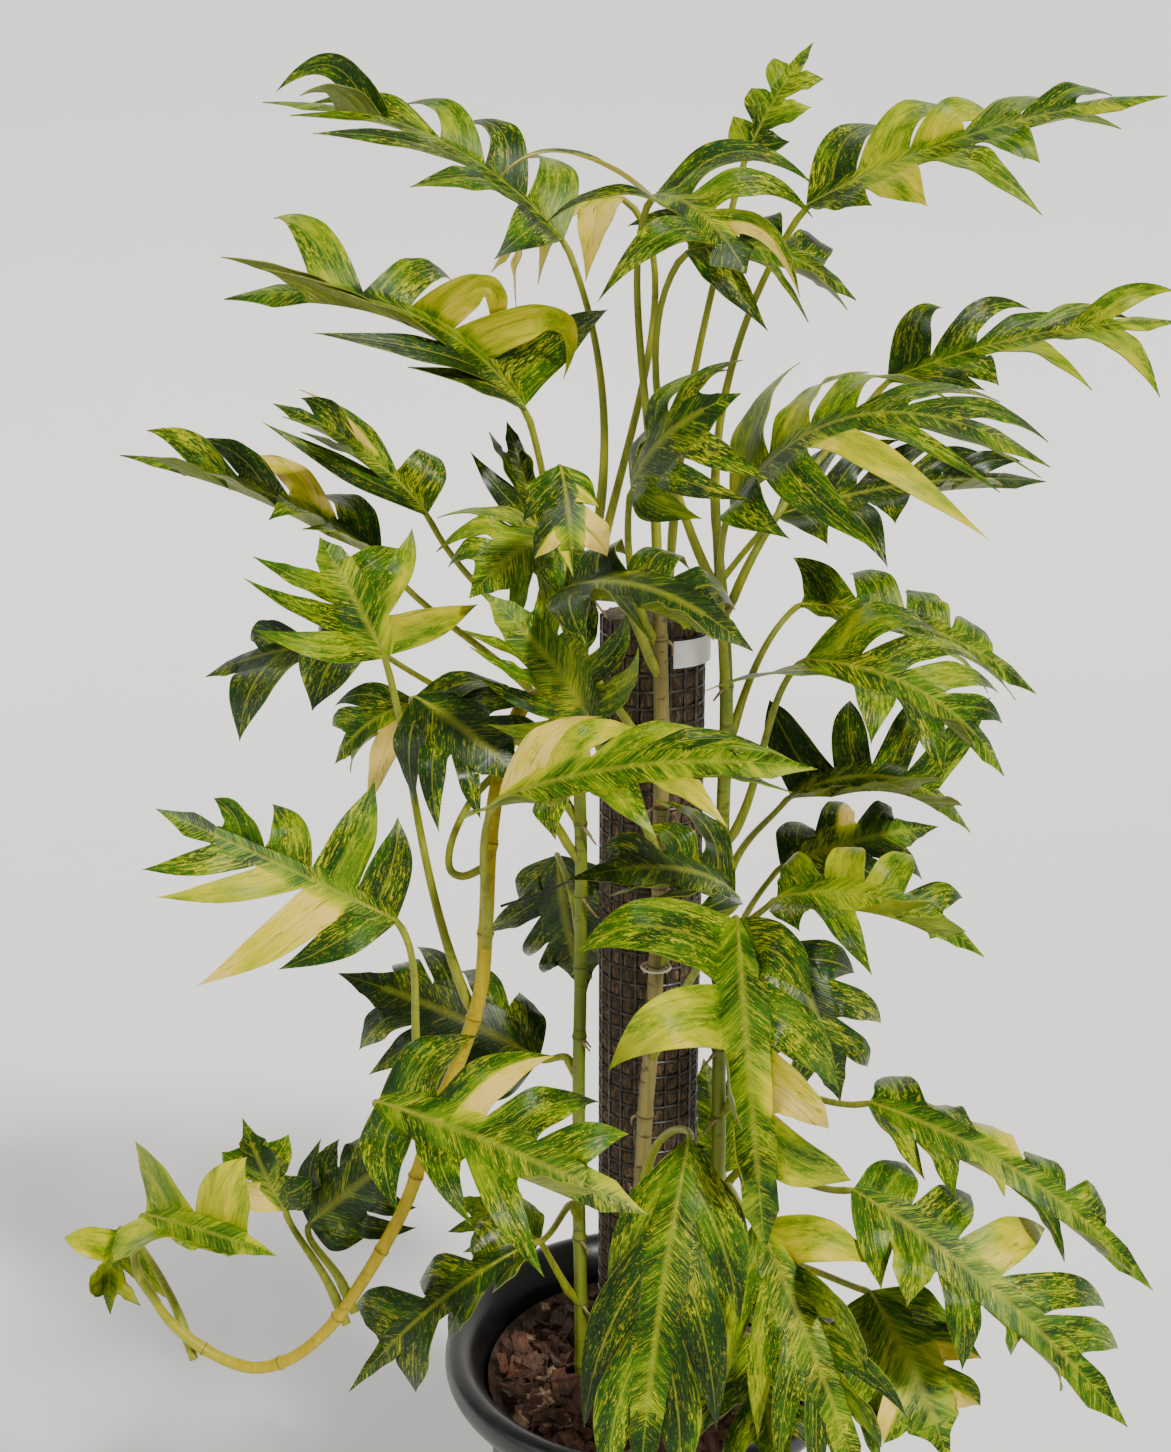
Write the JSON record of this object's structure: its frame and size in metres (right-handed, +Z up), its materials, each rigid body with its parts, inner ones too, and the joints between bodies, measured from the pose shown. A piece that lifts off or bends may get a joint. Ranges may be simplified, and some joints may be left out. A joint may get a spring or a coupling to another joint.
{
  "type": "potted golden flame pothos",
  "caption": "Climbing variegated aroid with deeply cut leaves, tied to a net-covered moss pole and standing in a round lipped nursery pot of bark mix.",
  "frame": {"origin": "centre of the pot's flat underside", "axes": "+Z up along the pole, -Y towards the plant's front, +X to the right as seen from the front"},
  "size_m": [0.7573, 0.4461, 1.1823],
  "materials": {
    "pot_plastic": "satin",
    "bark_mix": "matte",
    "pole_coir": "matte",
    "label_card": "satin",
    "tie_cord": "matte",
    "tie_pale_cord": "matte",
    "stem_tan": "satin",
    "stem_green": "satin",
    "stem_golden": "satin",
    "leaf_green": "satin",
    "leaf_deep": "satin",
    "leaf_lime": "satin",
    "leaf_cream": "satin",
    "leaf_olive": "satin"
  },
  "bodies": {
    "root": {"label": "label_card", "leaf_behind_left": "leaf_deep", "leaf_behind_right_low": "leaf_green", "leaf_below_top_right": "leaf_green", "leaf_bottom_centre": "leaf_olive", "leaf_bottom_centre_right": "leaf_olive", "leaf_bottom_right_curl": "leaf_olive", "leaf_bottom_small": "leaf_green", "leaf_centre_cream_hang": "leaf_green", "leaf_centre_dark": "leaf_deep", "leaf_centre_glossy": "leaf_deep", "leaf_centre_hanging": "leaf_lime", "leaf_centre_left_dark": "leaf_deep", "leaf_centre_left_yellow": "leaf_olive", "leaf_fan_mid_left": "leaf_lime", "leaf_far_left": "leaf_green", "leaf_front_left_low": "leaf_lime", "leaf_front_middle": "leaf_lime", "leaf_left_below": "leaf_green", "leaf_left_dark": "leaf_deep", "leaf_left_mid_high": "leaf_green", "leaf_lower_olive": "leaf_olive", "leaf_lower_right_lower": "leaf_lime", "leaf_lower_right_upper": "leaf_lime", "leaf_mid_left_yellow": "leaf_lime", "leaf_middle_left_back": "leaf_deep", "leaf_node_dark": "leaf_deep", "leaf_node_upright": "leaf_green", "leaf_over_rim_left": "leaf_deep", "leaf_right_behind": "leaf_deep", "leaf_right_brown_edge": "leaf_olive", "leaf_right_dark_hang": "leaf_deep", "leaf_right_fourth": "leaf_green", "leaf_right_low": "leaf_lime", "leaf_right_main": "leaf_green", "leaf_right_second": "leaf_green", "leaf_right_third": "leaf_green", "leaf_right_upper": "leaf_green", "leaf_rim_left_small": "leaf_olive", "leaf_top_centre": "leaf_green", "leaf_top_cream": "leaf_cream", "leaf_top_left": "leaf_green", "leaf_top_right": "leaf_lime", "leaf_top_upright": "leaf_lime", "leaf_upper_centre_grey": "leaf_green", "leaf_upper_left": "leaf_green", "leaf_upper_left_dark": "leaf_deep", "leaf_upper_left_small": "leaf_olive", "leaf_young_end_left": "leaf_lime", "leaf_young_end_small": "leaf_lime", "moss_pole": "pole_coir", "pot": "pot_plastic", "potting_mix": "bark_mix", "stem_arching": "stem_golden", "stem_front": "stem_tan", "stem_left": "stem_green", "stem_rear": "stem_green", "stem_right": "stem_green", "tie_lower": "tie_pale_cord", "tie_upper": "tie_cord"}
  },
  "joints": []
}
